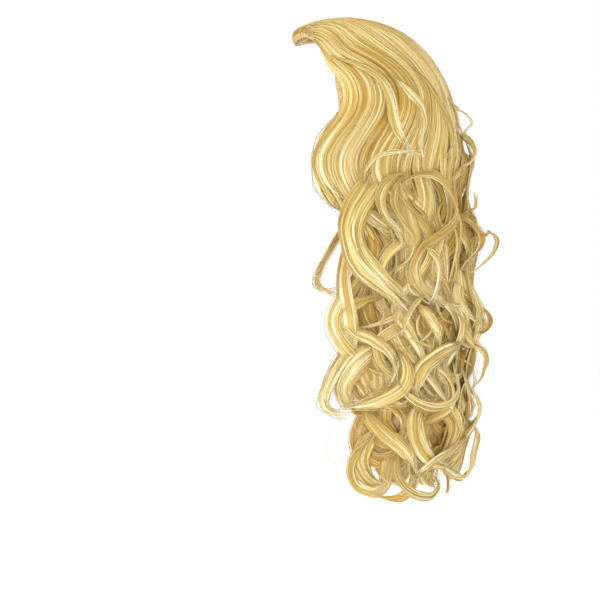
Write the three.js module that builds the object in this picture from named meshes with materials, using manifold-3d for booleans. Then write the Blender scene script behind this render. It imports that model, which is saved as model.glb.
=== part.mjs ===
// A half wig: a hollow cap over the crown and back of a head, a comb under its front edge,
// waved hair swept back over the cap, and two rows of long ringlets that hang from it.
// Millimetres, +Z up. The wearer faces -Y, and the wearer's left is +X.
// The origin is the point inside the cap that sits on the top of the head.
import * as THREE from "three";
import { mergeVertices } from "three/addons/utils/BufferGeometryUtils.js";
import Module from "manifold-3d";

const wasm = await Module();
wasm.setup();

// The head that the cap is made for
const headBreadth = 152;
const headLength = 194;
const headRise = 95; // from the head's widest level up to its top

// The hair's front edge, which runs over the head from ear to ear
const frontEdgeForward = 60; // of the top of the head, on the middle line
const frontEdgeAtEar = 8; // behind the top of the head, level with the ear
const edgeTurn = 84; // degrees from the top of the edge down to the ear
const edgeSweep = 1.6; // how fast the edge runs back as it goes down
const edgeRound = 0.12; // how round the edge is on the middle line
const fallTurn = 98; // degrees from the back's middle to the foremost strand
const crownArch = 0.5; // how far up a strand's way over the crown bends

// The cap
const capWall = 2;
const capEdgeInset = 4; // behind the hair's front edge
const capReach = 0.86; // share of the hair's spread round the head
const capDropBack = 52; // below the widest level, at the back
const capDropSide = 12;
const capColumns = 24;
const capRows = 17;

// The hair over the crown
const crownLoft = 8; // thickness of the hair on the cap
const rowThickness = 4; // of a hanging row where the crown hair covers it
const crownRim = 22; // how far the crown hair runs below the widest level
const rimLobe = 14; // how far the middle of each lock runs down past the grooves
const lockRelief = 3.2; // depth of the grooves between the crown's locks

// The waves
const waveLength = 150;
const waveHeight = 13;
const waveTurn = -42; // degrees, the wave's place at the widest level
const waveStart = 0.5; // the place across from which the waves have their full height
const waveEnd = 0.45; // share of that height left in the hanging rows
const swellHeight = 6; // how far the waves lift the hair off the back
const swellLength = 90;
const swellTurn = -30;
const swellStart = 0.3; // share of its length by which the swell starts above the widest level

// The hanging rows
const hairDrop = 398; // from the widest level down to the lowest tip
const rowDepth = 37; // from the inner to the outer side of the outer row
const rowOpening = 54; // how far below the crown hair it has its full depth
const rowRoot = 0.78; // where the outer row starts, as a share of the way to the crown hair's rim
const napeRoot = 26; // how far below it the nape row starts
const napeDepth = 38;
const napeTurn = 66; // degrees that the nape row reaches round from the middle
const napeDrop = 330;

// The comb
const combGap = 1.2; // under the cap
const combWidth = 62;
const combTeeth = 13;
const combSpine = 4;
const combThickness = 2;
const toothLength = 14;
const toothWidth = 1.6;
const toothThickness = 1.4;

const clearance = 0.5; // between pieces that lie side by side
const layerGap = 1.2; // between layers that lie on each other
const seamGap = 0.35; // between the cap and the top of a lock that is sewn to it
const levelStep = 15; // between two sections of a lock
const lockSides = 8;
const groovePlaces = 4; // points across one lock of the crown hair

// The form that the outer row hangs round. down is a share of hairDrop, wide and deep
// are shares of the head's half breadth and half length, and back is the shift backwards.
const fallForm = [
  { down: 0.0, wide: 1.0, deep: 1.0, back: 0.0 },
  { down: 0.11, wide: 1.04, deep: 1.02, back: 0.0 },
  { down: 0.28, wide: 1.1, deep: 0.94, back: 0.06 },
  { down: 0.5, wide: 1.19, deep: 0.92, back: 0.16 },
  { down: 0.75, wide: 1.2, deep: 0.87, back: 0.17 },
  { down: 1.0, wide: 1.04, deep: 0.74, back: 0.15 },
];

// The crown hair's thickness, in shares of crownLoft, along its way from the front edge.
const crownForm = [
  { along: 0.0, loft: 0.4 },
  { along: 0.02, loft: 1.2 },
  { along: 0.05, loft: 1.75 },
  { along: 0.1, loft: 1.6 },
  { along: 0.16, loft: 1.35 },
  { along: 0.23, loft: 1.05 },
  { along: 0.31, loft: 0.8 },
  { along: 0.39, loft: 0.62 },
  { along: 0.47, loft: 0.6 },
  { along: 0.55, loft: 0.6 },
  { along: 0.63, loft: 0.65 },
  { along: 0.71, loft: 0.8 },
  { along: 0.78, loft: 0.4 },
  { along: 0.85, loft: 0.8 },
  { along: 0.93, loft: 2.1 },
  { along: 1.0, loft: 1.2 },
];

// The outer row, from the right ear round the back to the left ear. reach is a share of
// hairDrop, turns and start say how the lock coils, and hand is the way it turns.
const outerRow = [
  { name: "right_side_lock", reach: 0.82, turns: 4.2, start: 20, hand: -1 },
  { name: "right_lock_4", reach: 0.92, turns: 4.8, start: 150, hand: -1 },
  { name: "right_lock_3", reach: 0.97, turns: 4.6, start: 260, hand: -1 },
  { name: "right_lock_2", reach: 0.98, turns: 5.0, start: 60, hand: 1 },
  { name: "right_lock_1", reach: 0.97, turns: 4.7, start: 190, hand: -1 },
  { name: "centre_lock", reach: 0.96, turns: 5.1, start: 310, hand: 1 },
  { name: "left_lock_1", reach: 0.97, turns: 4.7, start: 90, hand: 1 },
  { name: "left_lock_2", reach: 0.99, turns: 4.9, start: 230, hand: -1 },
  { name: "left_lock_3", reach: 1.0, turns: 5.0, start: 340, hand: 1 },
  { name: "left_lock_4", reach: 0.95, turns: 4.6, start: 120, hand: 1 },
  { name: "left_side_lock", reach: 0.84, turns: 4.3, start: 200, hand: 1 },
];

// The nape row, from right to left. reach is a share of napeDrop.
const napeRow = [
  { name: "nape_lock_1", reach: 0.9, turns: 2.2, start: 40, hand: -1 },
  { name: "nape_lock_2", reach: 0.97, turns: 2.6, start: 170, hand: 1 },
  { name: "nape_lock_3", reach: 1.0, turns: 2.4, start: 280, hand: -1 },
  { name: "nape_lock_4", reach: 0.96, turns: 2.7, start: 100, hand: 1 },
  { name: "nape_lock_5", reach: 0.92, turns: 2.3, start: 220, hand: 1 },
];

// How a lock opens out below its root. fill is its half width and coil the shift from the
// middle of its room, both in shares of that room; flat is its thickness over its width.
const lockForm = [
  { along: 0.0, fill: 0.97, flat: 1.0, coil: 0.0 },
  { along: 0.12, fill: 0.95, flat: 0.95, coil: 0.04 },
  { along: 0.3, fill: 0.95, flat: 0.76, coil: 0.22 },
  { along: 0.75, fill: 0.92, flat: 0.72, coil: 0.28 },
  { along: 0.92, fill: 0.74, flat: 0.7, coil: 0.36 },
  { along: 1.0, fill: 0.2, flat: 0.8, coil: 0.3 },
];

const radians = THREE.MathUtils.degToRad;
const lerp = THREE.MathUtils.lerp;
const smooth = (x) => THREE.MathUtils.smoothstep(x, 0, 1);

const halfBreadth = headBreadth / 2;
const halfLength = headLength / 2;
const laneCount = outerRow.length;
const hairSpan = ((halfBreadth + halfLength) / 2) * radians(fallTurn); // from the back's middle to the ear
const frontSpan = halfBreadth * radians(edgeTurn); // from the front's middle down to the ear
const strandSteps = 24; // when a strand's length over the head is measured

// Reads one column of a table at a place between its rows.
function read(table, key, at, column) {
  const next = table.findIndex((row) => row[key] >= at);
  if (next <= 0) return next < 0 ? table.at(-1)[column] : table[0][column];
  const [a, b] = [table[next - 1], table[next]];
  return lerp(a[column], b[column], (at - a[key]) / (b[key] - a[key]));
}

// A point at some height over the head, in a direction from the head's centre.
function overHead(direction, height) {
  const sizes = new THREE.Vector3(halfBreadth, halfLength, headRise);
  const onSurface = direction.clone().multiplyScalar(1 / direction.clone().divide(sizes).length());
  const normal = onSurface.clone().divide(sizes).divide(sizes).normalize();
  const centre = new THREE.Vector3(0, 0, -headRise);
  return onSurface.addScaledVector(normal, height).add(centre);
}

// Where a strand starts on the front edge. across runs from -1 at the right ear to 1 at the left.
function edgeDirection(across) {
  const turn = radians(edgeTurn * across);
  const soft = Math.hypot(across, edgeRound) - edgeRound;
  const sweep = (1 - soft / (Math.hypot(1, edgeRound) - edgeRound)) ** edgeSweep;
  const back = lerp(frontEdgeAtEar, -frontEdgeForward, sweep);
  const shrink = Math.sqrt(1 - (back / halfLength) ** 2);
  return new THREE.Vector3(
    halfBreadth * shrink * Math.sin(turn), back, headRise * shrink * Math.cos(turn),
  ).normalize();
}

// The direction at which a strand reaches the head's widest level, or one above it.
function levelDirection(across, above = 0) {
  const round = radians(fallTurn * across);
  return new THREE.Vector3(
    halfBreadth * Math.sin(round), halfLength * Math.cos(round), headRise * Math.tan(above),
  ).normalize();
}

// The way of a strand over the head, from the front edge at 0 to the widest level at 1.
function overCrown(across, share) {
  const [edge, level] = [edgeDirection(across), levelDirection(across)];
  const bend = levelDirection(across, crownArch * edge.angleTo(level));
  return edge.multiplyScalar((1 - share) ** 2)
    .addScaledVector(bend, 2 * share * (1 - share))
    .addScaledVector(level, share ** 2).normalize();
}

// The length of that way, measured on the head.
function crownLength(across) {
  let length = 0;
  for (let i = 0; i < strandSteps; i++) {
    const a = overHead(overCrown(across, i / strandSteps), 0);
    length += a.distanceTo(overHead(overCrown(across, (i + 1) / strandSteps), 0));
  }
  return length;
}

// How far the waves shift a strand round the head, below is measured from the widest level.
function waved(across, below) {
  const wave = Math.sin(radians((360 * below) / waveLength + waveTurn));
  const share = smooth(Math.abs(across) / waveStart) * Math.sign(across);
  const fade = lerp(1, waveEnd, smooth(below / waveLength - 1 / 2));
  return across + (share * fade * waveHeight * wave) / hairSpan;
}

// A point of the cap's own form, which follows the head all the way down.
function capPoint(across, below, height) {
  if (below <= 0) {
    return overHead(overCrown(across, 1 + below / crownLength(across)), height);
  }
  return overHead(levelDirection(across, -Math.asin(below / headRise)), height);
}

// A point of the hair, which leaves the head at its widest level and hangs down from there.
function hairPoint(across, below, height) {
  const lift = swellHeight * Math.sin(radians((360 * below) / swellLength + swellTurn));
  const swell = lift * smooth(below / swellLength + swellStart) * (height / rowDepth);
  const place = waved(across, below);
  if (below <= 0) {
    const share = Math.max(0, 1 + below / crownLength(across));
    return overHead(overCrown(place, share), height + swell);
  }
  const down = below / hairDrop;
  const round = radians(fallTurn * place);
  const wide = halfBreadth * read(fallForm, "down", down, "wide");
  const deep = halfLength * read(fallForm, "down", down, "deep");
  const back = halfLength * read(fallForm, "down", down, "back");
  const point = new THREE.Vector3(wide * Math.sin(round), deep * Math.cos(round), 0);
  const out = new THREE.Vector3(point.x / wide ** 2, point.y / deep ** 2, 0).normalize();
  point.addScaledVector(out, height + swell);
  return point.add(new THREE.Vector3(0, back, -headRise - below));
}

// A closed body from rings of points that all have the same count.
function skin(rings) {
  const sides = rings[0].length;
  const points = rings.flat();
  const faces = [];
  for (let i = 0; i + 1 < rings.length; i++) {
    for (let j = 0; j < sides; j++) {
      const [a, b] = [i * sides + j, i * sides + ((j + 1) % sides)];
      faces.push(a, b + sides, b, a, a + sides, b + sides);
    }
  }
  const last = (rings.length - 1) * sides;
  for (let j = 1; j + 1 < sides; j++) {
    faces.push(0, j, j + 1, last, last + j + 1, last + j);
  }
  return body(points, faces);
}

// A closed wall between an inner and an outer sheet, each a grid of rows and columns.
function wall(outer, inner) {
  const [rows, columns] = [outer.length, outer[0].length];
  const points = [...outer.flat(), ...inner.flat()];
  const under = rows * columns;
  const faces = [];
  const quad = (a, b, c, d) => faces.push(a, c, b, a, d, c);
  for (let i = 0; i + 1 < rows; i++) {
    for (let j = 0; j + 1 < columns; j++) {
      const a = i * columns + j;
      quad(a, a + columns, a + columns + 1, a + 1);
      quad(under + a, under + a + 1, under + a + columns + 1, under + a + columns);
    }
    const [left, right] = [i * columns, (i + 1) * columns - 1];
    quad(left, left + under, left + columns + under, left + columns);
    quad(right, right + columns, right + columns + under, right + under);
  }
  const end = (rows - 1) * columns;
  for (let j = 0; j + 1 < columns; j++) {
    quad(j, j + 1, j + 1 + under, j + under);
    quad(end + j, end + j + under, end + j + 1 + under, end + j + 1);
  }
  return body(points, faces);
}

function body(points, faces) {
  const geometry = new THREE.BufferGeometry().setFromPoints(points);
  geometry.setIndex(faces);
  return geometry;
}

// Joins closed bodies that overlap into one.
function join(bodies) {
  const solids = bodies.map((geometry) => {
    const merged = mergeVertices(geometry.clone());
    return new wasm.Manifold(new wasm.Mesh({
      numProp: 3,
      vertProperties: merged.attributes.position.array,
      triVerts: new Uint32Array(merged.index.array),
    }));
  });
  const mesh = solids.reduce((a, b) => a.add(b)).getMesh();
  const geometry = new THREE.BufferGeometry();
  geometry.setAttribute("position", new THREE.BufferAttribute(mesh.vertProperties, 3));
  geometry.setIndex(new THREE.BufferAttribute(mesh.triVerts, 1));
  return geometry;
}

// The number from a to b at each of count even steps.
const steps = (a, b, count) => Array.from({ length: count + 1 }, (_, i) => lerp(a, b, i / count));

function wigCap() {
  const columns = steps(-capReach, capReach, capColumns);
  const sheet = (height) => steps(0, 1, capRows).map((share) => columns.map((across) => {
    const drop = lerp(capDropBack, capDropSide, (across / capReach) ** 2);
    return capPoint(across, lerp(capEdgeInset - crownLength(across), drop, share), height);
  }));
  return wall(sheet(capWall), sheet(0));
}

// The comb follows the inside of the cap behind its front edge, its teeth pointing backwards.
function frontComb() {
  const bar = (left, right, start, end, thickness, columns) => {
    const sheet = (height) => steps(start, end, 2).map((along) =>
      steps(left, right, columns).map((x) => {
        const across = x / frontSpan;
        return capPoint(across, capEdgeInset + along - crownLength(across), height);
      }));
    return wall(sheet(-combGap), sheet(-combGap - thickness));
  };
  const half = combWidth / 2;
  const spine = bar(-half, half, 0, combSpine, combThickness, combTeeth);
  const inset = half - toothWidth / 2;
  const teeth = steps(-inset, inset, combTeeth - 1).map((x) => bar(
    x - toothWidth / 2, x + toothWidth / 2,
    combSpine / 2, combSpine + toothLength, toothThickness, 1,
  ));
  return join([spine, ...teeth]);
}

// The level of a strand on its way over the crown, from the front edge at 0 to the rim at 1.
const crownLevel = (across, along) => lerp(-crownLength(across), crownRim, along);

// The hair over the cap: one wall, grooved into as many locks as hang below it. Each of them
// ends in a lobe, and from rowRoot on the wall steps out over the roots of the outer row.
function crownHair() {
  const places = steps(-1, 1, laneCount * groovePlaces);
  const sheet = (heightAt) => crownForm.map(({ along, loft }) => places.map((across, j) => {
    const edge = ((2 * (j % groovePlaces)) / groovePlaces - 1) ** 2;
    const lobe = along < 1 ? 0 : rimLobe * (1 - edge);
    const cover = along < rowRoot ? 0 : rowThickness + 2 * layerGap;
    const height = cover + heightAt(loft, lockRelief * edge * loft);
    return hairPoint(across, crownLevel(across, along) + lobe, height);
  }));
  const inner = capWall + layerGap;
  return wall(sheet((loft, groove) => inner + crownLoft * loft - groove), sheet(() => inner));
}

// One lock: a flattened bundle that winds inside the room it has across and in depth.
// levels gives each section's level at a place across, and room its inner and outer height.
function lock({ turns, start, hand }, middle, half, levels, room) {
  return skin(levels.map((levelAt, i) => {
    const along = i / (levels.length - 1);
    const fill = read(lockForm, "along", along, "fill");
    const coil = read(lockForm, "along", along, "coil");
    const flat = read(lockForm, "along", along, "flat");
    const turned = hand * radians(start + 360 * turns * along);
    return steps(0, 2 * Math.PI, lockSides).slice(1).map((around) => {
      const from = around - turned;
      const [a, b] = [fill * Math.sin(from), coil + fill * flat * Math.cos(from)];
      const across = middle + half * (b * Math.cos(turned) - a * Math.sin(turned));
      const depth = b * Math.sin(turned) + a * Math.cos(turned);
      const below = levelAt(across);
      const [inner, outer] = room(across, below, i > 0 ? layerGap : seamGap);
      return hairPoint(across, below, lerp(inner, outer, (1 + depth) / 2));
    });
  }));
}

// Even levels from one to another, about a level step apart.
function hangingLevels(from, to) {
  return steps(from, to, Math.round((to - from) / levelStep)).map((below) => () => below);
}

// The outer row hangs from the cap under the crown hair, and opens out below its rim.
function outerLock(form, index) {
  const middle = (2 * index + 1) / laneCount - 1;
  const half = 1 / laneCount - clearance / hairSpan;
  const roots = crownForm.filter(({ along }) => along >= rowRoot && along < 1);
  const covered = roots.map(({ along }) => (across) => crownLevel(across, along));
  const levels = [...covered, ...hangingLevels(crownRim, form.reach * hairDrop)];
  const room = (across, below, gap) => {
    const open = smooth((below - crownRim - rimLobe) / rowOpening);
    return [capWall + gap, capWall + layerGap + lerp(rowThickness, rowDepth, open)];
  };
  return lock(form, middle, half, levels, room);
}

// The height of the cap's outside and a gap over the form that the outer row hangs round.
function capHeight(across, below, gap) {
  const grown = capWall + gap;
  const level = Math.sqrt(Math.max(0, 1 - (below / (headRise + grown)) ** 2));
  const [wide, deep] = [(halfBreadth + grown) * level, (halfLength + grown) * level];
  const point = hairPoint(across, below, 0);
  const out = hairPoint(across, below, 1).sub(point).setZ(0);
  const [x, y, u, v] = [point.x / wide, point.y / deep, out.x / wide, out.y / deep];
  const [a, b, c] = [u * u + v * v, x * u + y * v, x * x + y * y - 1];
  const inside = b * b - a * c;
  return inside > 0 ? (Math.sqrt(inside) - b) / a : -napeDepth;
}

// The nape row hangs from the back of the cap, behind the neck and inside the outer row.
function napeLock(form, index) {
  const spread = napeTurn / fallTurn;
  const middle = spread * ((2 * index + 1) / napeRow.length - 1);
  const half = spread / napeRow.length - clearance / hairSpan;
  const outer = capWall;
  const room = (across, below, gap) => {
    const inner = Math.max(capHeight(across, below, gap), outer - napeDepth);
    return [inner, outer];
  };
  return lock(form, middle, half, hangingLevels(napeRoot, form.reach * napeDrop), room);
}

const cloth = new THREE.MeshStandardMaterial({ color: 0xb99a63, roughness: 0.8, metalness: 0 });
const plastic = new THREE.MeshStandardMaterial({ color: 0x8a6a3a, roughness: 0.35, metalness: 0 });
const hair = new THREE.MeshStandardMaterial({ color: 0xd0b670, roughness: 0.45, metalness: 0 });

const wig = new THREE.Group();
function place(name, geometry, material) {
  const mesh = new THREE.Mesh(geometry, material);
  mesh.name = name;
  wig.add(mesh);
}
place("wig_cap", wigCap(), cloth);
place("front_comb", frontComb(), plastic);
place("crown_hair", crownHair(), hair);
outerRow.forEach((form, index) => place(form.name, outerLock(form, index), hair));
napeRow.forEach((form, index) => place(form.name, napeLock(form, index), hair));

export default wig;
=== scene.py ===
import math
import bpy
import numpy as np
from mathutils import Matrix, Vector


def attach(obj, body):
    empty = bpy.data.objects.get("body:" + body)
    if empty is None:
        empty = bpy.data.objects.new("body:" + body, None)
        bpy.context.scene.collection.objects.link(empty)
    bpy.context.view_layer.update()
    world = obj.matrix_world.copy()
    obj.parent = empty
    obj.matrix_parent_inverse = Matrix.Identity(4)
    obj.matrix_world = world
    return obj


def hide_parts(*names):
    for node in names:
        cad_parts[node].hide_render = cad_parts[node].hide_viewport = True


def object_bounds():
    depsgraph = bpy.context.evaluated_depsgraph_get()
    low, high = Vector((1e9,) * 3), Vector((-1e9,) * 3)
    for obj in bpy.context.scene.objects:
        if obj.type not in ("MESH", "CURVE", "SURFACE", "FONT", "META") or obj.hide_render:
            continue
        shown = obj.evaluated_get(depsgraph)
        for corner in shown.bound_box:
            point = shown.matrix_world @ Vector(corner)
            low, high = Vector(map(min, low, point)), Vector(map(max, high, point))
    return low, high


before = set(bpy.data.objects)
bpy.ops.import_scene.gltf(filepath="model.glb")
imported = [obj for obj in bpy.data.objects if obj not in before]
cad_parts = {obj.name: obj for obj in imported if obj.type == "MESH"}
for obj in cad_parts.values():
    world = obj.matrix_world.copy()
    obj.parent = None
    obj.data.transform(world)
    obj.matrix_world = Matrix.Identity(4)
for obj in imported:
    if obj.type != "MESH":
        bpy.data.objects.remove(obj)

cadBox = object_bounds()
mm = 0.001
bpy.ops.object.select_all(action="DESELECT")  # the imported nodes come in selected

# One row of chances lays the locks out, and the other roughens them.
layout, luck = np.random.default_rng(3), np.random.default_rng(7)
wholeTurn = 6.3

# The photograph's view: millimetres for a pixel, the pixel of the frame's origin, and the angle.
camera = {"scale": 1.03 * mm, "origin": (348, 25), "size": 600, "azimuth": 105, "distance": 3.0}

# The form that all hair lies on: a dome, and below its widest level a fall that hangs from it.
# across runs from -1 at the right end of the front edge, round the back, to 1 at the left end. below
# is counted down from that level, and height out from the form. The dome, its edge and the fall
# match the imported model.
hairForm = {
    "halfBreadth": 76 * mm, "halfLength": 97 * mm, "headRise": 95 * mm,
    "edgeForward": 60 * mm, "edgeAtEar": 8 * mm, "edgeTurn": 84, "edgeSweep": 1.6, "edgeRound": 0.12,
    "fallTurn": 98, "hairDrop": 398 * mm,
    # how the strands fan out from the roll on their way over the crown
    "fan": 0.5, "fanMiddle": 0.72, "fanPull": 0.9, "crownOver": 0.62, "crownArrive": 0.3,
    # the waves to the sides, which start a little below the roll, and the swell in and out
    "waveRoot": 70 * mm, "waveLength": 150 * mm, "waveHeight": 13 * mm, "waveTurn": -42,
    "waveStart": 0.5, "waveEnd": 0.45, "swellHeight": 6 * mm, "swellLength": 90 * mm,
    "swellTurn": -30, "swellStart": 0.3, "swellDepth": 37 * mm,
}
# The fall's sizes at shares of its drop, as shares of the dome's own, and how far back it stands.
fallForm = {
    "down": [0.0, 0.11, 0.28, 0.5, 0.75, 1.0],
    "wide": [1.0, 1.04, 1.1, 1.19, 1.2, 1.04],
    "deep": [1.0, 1.02, 0.94, 0.92, 0.87, 0.74],
    "back": [0.0, 0.0, 0.06, 0.16, 0.17, 0.15],
}
headSizes = np.array([hairForm["halfBreadth"], hairForm["halfLength"], hairForm["headRise"]])
headCentre = np.array([0.0, 0.0, -hairForm["headRise"]])
hairSpan = (headSizes[0] + headSizes[1]) / 2 * math.radians(hairForm["fallTurn"])


def unit(v):
    return v / np.maximum(np.linalg.norm(v, axis=-1, keepdims=True), 1e-9)


def smooth(x):
    x = np.clip(x, 0, 1)
    return x * x * (3 - 2 * x)


def mix(a, b, share):
    return a + (b - a) * share


def edgeDirection(across):
    f = hairForm
    turn = np.radians(f["edgeTurn"] * across)
    soft = np.hypot(across, f["edgeRound"]) - f["edgeRound"]
    reach = math.hypot(1, f["edgeRound"]) - f["edgeRound"]
    sweep = np.clip(1 - soft / reach, 0, 1) ** f["edgeSweep"]
    back = mix(f["edgeAtEar"], -f["edgeForward"], sweep)
    shrink = np.sqrt(1 - (back / f["halfLength"]) ** 2)
    return unit(np.stack([f["halfBreadth"] * shrink * np.sin(turn), back,
                          f["headRise"] * shrink * np.cos(turn)], axis=-1))


def levelDirection(across, above=0.0):
    turn = np.radians(hairForm["fallTurn"] * across)
    up = np.tan(above) * np.ones_like(turn)
    return unit(np.stack([np.sin(turn), np.cos(turn), up], axis=-1) * headSizes)


def overCrown(across, share):
    # strands fan out from the roll at the front, the outermost ones run along the front edge, and all
    # come down straight to the widest level: share runs from 0 at the roll to 1 there
    f = hairForm
    start, level = edgeDirection(across * f["fan"]), levelDirection(across)
    angle = np.arccos(np.clip((start * level).sum(-1), -1, 1))
    over = levelDirection(across, f["crownOver"] * angle)
    edge = edgeDirection(across * f["fanMiddle"])
    leave = unit(mix(over, edge, (across ** 2)[..., None] * f["fanPull"]))
    arrive = levelDirection(across, f["crownArrive"] * angle)
    t = share[..., None]
    early = start * (1 - t) ** 3 + leave * 3 * t * (1 - t) ** 2
    return unit(early + arrive * 3 * t ** 2 * (1 - t) + level * t ** 3)


def overHead(direction, height):
    onHead = direction / np.linalg.norm(direction / headSizes, axis=-1, keepdims=True)
    return onHead + unit(onHead / headSizes ** 2) * height[..., None] + headCentre


def measureCrown():
    # the length of each way over the crown, a little past both ends of the front edge
    across = np.linspace(-1.05, 1.05, 211)
    share = np.linspace(0, 1, 25)
    a, s = np.meshgrid(across, share, indexing="ij")
    way = overHead(overCrown(a, s), np.zeros_like(a))
    return across, np.linalg.norm(np.diff(way, axis=1), axis=-1).sum(1)


crownPlaces, crownLengths = measureCrown()


def crownLength(across):
    return np.interp(across, crownPlaces, crownLengths)


def waved(across, below):
    # where a strand that starts at across is after the wave has moved it
    f = hairForm
    wave = np.sin(2 * math.pi * below / f["waveLength"] + math.radians(f["waveTurn"]))
    share = smooth(np.abs(across) / f["waveStart"]) * np.sign(across)
    fade = mix(1, f["waveEnd"], smooth(below / f["waveLength"] - 0.5))
    return across + share * fade * f["waveHeight"] * wave / hairSpan


def hairPoint(across, below, height):
    f = hairForm
    across, below, height = np.broadcast_arrays(across, below, height)
    across, below, height = across.astype(float), below.astype(float), height.astype(float)
    lift = f["swellHeight"] * np.sin(2 * math.pi * below / f["swellLength"] + math.radians(f["swellTurn"]))
    height = height + lift * smooth(below / f["swellLength"] + f["swellStart"]) * height / f["swellDepth"]
    rooted = smooth((below + crownLength(across)) / f["waveRoot"])
    place = mix(across, waved(across, below), rooted)
    share = 1 + np.minimum(below, 0) / crownLength(across)
    above = overHead(overCrown(place, share), height)
    down = np.maximum(below, 0) / f["hairDrop"]
    wide = f["halfBreadth"] * np.interp(down, fallForm["down"], fallForm["wide"])
    deep = f["halfLength"] * np.interp(down, fallForm["down"], fallForm["deep"])
    back = f["halfLength"] * np.interp(down, fallForm["down"], fallForm["back"])
    turn = np.radians(f["fallTurn"] * place)
    x, y = wide * np.sin(turn), deep * np.cos(turn)
    out = unit(np.stack([x / wide ** 2, y / deep ** 2], axis=-1)) * height[..., None]
    hanging = np.stack([x + out[..., 0], y + out[..., 1] + back, -f["headRise"] - below], axis=-1)
    return np.where((below <= 0)[..., None], above, hanging)


# A store collects the surfaces of one piece, and becomes one mesh at the end. Its uv runs across and
# along the strands, in metres. Its toneAndShade holds each strand's own chance, how much painted light
# or painted shade it has, and how far down it is.
def newStore():
    return {"points": [], "faces": [], "uv": [], "toneAndShade": [], "count": 0}


def addGrid(store, rings, lateral, along, toneAndShade):
    # rings is bundle x row x side x 3: each bundle is a closed tube with flat ends
    bundles, rows, sides, _ = rings.shape
    first = store["count"] + np.arange(bundles)[:, None, None] * rows * sides
    i = np.arange(rows - 1)[None, :, None] * sides
    j = np.arange(sides)[None, None, :]
    a, b = first + i + j, first + i + (j + 1) % sides
    quads = np.stack([a, b, b + sides, a, b + sides, a + sides], axis=-1).reshape(-1, 3)
    k = np.arange(1, sides - 1)[None, :]
    start, last = first[:, 0], first[:, 0] + (rows - 1) * sides
    caps = np.concatenate([
        np.stack([start + 0 * k, start + k + 1, start + k], axis=-1).reshape(-1, 3),
        np.stack([last + 0 * k, last + k, last + k + 1], axis=-1).reshape(-1, 3)])
    store["points"].append(rings.reshape(-1, 3))
    store["faces"].append(np.concatenate([quads, caps]))
    store["uv"].append(np.stack(np.broadcast_arrays(lateral, along), axis=-1).reshape(-1, 2))
    store["toneAndShade"].append(np.broadcast_to(toneAndShade, (bundles, rows, sides, 3)).reshape(-1, 3))
    store["count"] += bundles * rows * sides


def pathFrames(paths, outward):
    along = unit(np.gradient(paths, axis=1))
    side = unit(np.cross(along, outward))
    return side, np.cross(side, along)


# A strand's root and tip as shares of its width, how fast it fills out, and its roundness.
strandTaper = {"root": 0.35, "tip": 0.12, "fill": 5, "round": 0.9}
toneTurn = 37.7  # spreads the tones of neighbouring seeds


def addStrands(store, paths, outward, width, seeds, paintedLight):
    # thin strands of hair, three-sided, along paths: strand x row x 3
    o = strandTaper
    strands, rows, _ = paths.shape
    side, out = pathFrames(paths, outward)
    t = np.linspace(0, 1, rows)
    taper = np.minimum(1, o["root"] + o["fill"] * t) * np.minimum(1, o["tip"] + o["fill"] * (1 - t))
    half = (width[:, None] / 2 * taper)[..., None]
    rings = np.stack([paths - side * half, paths + out * half * o["round"], paths + side * half], axis=2)
    length = np.concatenate([np.zeros((strands, 1)),
                             np.linalg.norm(np.diff(paths, axis=1), axis=-1).cumsum(1)], axis=1)
    lateral = seeds[:, None, None] + np.array([-0.5, 0, 0.5]) * width[:, None, None]
    toneAndShade = np.stack(np.broadcast_arrays((seeds * toneTurn % 1)[:, None], paintedLight, t[None, :]), axis=-1)
    addGrid(store, rings, lateral, length[..., None] + seeds[:, None, None], toneAndShade[:, :, None])


def addBand(store, top, under, seed, paintedLight):
    # a flat band of hair between two sheets: row x column x 3
    rings = np.concatenate([top, under[:, ::-1]], axis=1)[None]
    centre = top.mean(1)
    length = np.concatenate([[0], np.linalg.norm(np.diff(centre, axis=0), axis=-1).cumsum()])
    offsets = [np.linalg.norm(sheet - centre[:, None], axis=-1)
               * np.sign(np.linspace(-1, 1, sheet.shape[1])) for sheet in (top, under)]
    lateral = seed + np.concatenate([offsets[0], offsets[1][:, ::-1]], axis=1)[None]
    t = np.linspace(0, 1, len(top))
    toneAndShade = np.stack(np.broadcast_arrays(seed * toneTurn % 1, paintedLight, t), axis=-1)
    addGrid(store, rings, lateral, (length + seed)[None, :, None], toneAndShade[None, :, None])


def makePiece(name, store, material, nodes):
    points = np.concatenate(store["points"])
    faces = np.concatenate(store["faces"])
    mesh = bpy.data.meshes.new(name)
    mesh.from_pydata(points, [], faces)
    mesh.polygons.foreach_set("use_smooth", np.ones(len(faces), dtype=bool))
    uv = np.concatenate(store["uv"])[faces.reshape(-1)]
    layer = mesh.uv_layers.new(name="strandUv")
    layer.data.foreach_set("uv", uv.astype(np.float32).reshape(-1))
    toneAndShade = np.concatenate(store["toneAndShade"])
    shade = mesh.attributes.new("lockTone", "FLOAT_COLOR", "POINT")
    shade.data.foreach_set("color", np.c_[toneAndShade, np.ones(len(toneAndShade))].astype(np.float32).reshape(-1))
    mesh.materials.append(material)
    mesh.update()
    piece = bpy.data.objects.new(name, mesh)
    bpy.context.scene.collection.objects.link(piece)
    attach(piece, "root")
    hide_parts(*nodes)
    print(name, "triangles", len(faces))


# Materials: an expression on a value adds its Math nodes.
class Value:
    def __init__(self, tree, socket):
        self.tree, self.socket = tree, socket

    def join(self, operation, other, turned=False):
        first, second = (other, self) if turned else (self, other)
        return self.tree.add("ShaderNodeMath", {"operation": operation}, {0: first, 1: second})

    def __add__(self, other):
        return self.join("ADD", other)

    def __radd__(self, other):
        return self.join("ADD", other, True)

    def __sub__(self, other):
        return self.join("SUBTRACT", other)

    def __rsub__(self, other):
        return self.join("SUBTRACT", other, True)

    def __mul__(self, other):
        return self.join("MULTIPLY", other)

    def __rmul__(self, other):
        return self.join("MULTIPLY", other, True)


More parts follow.
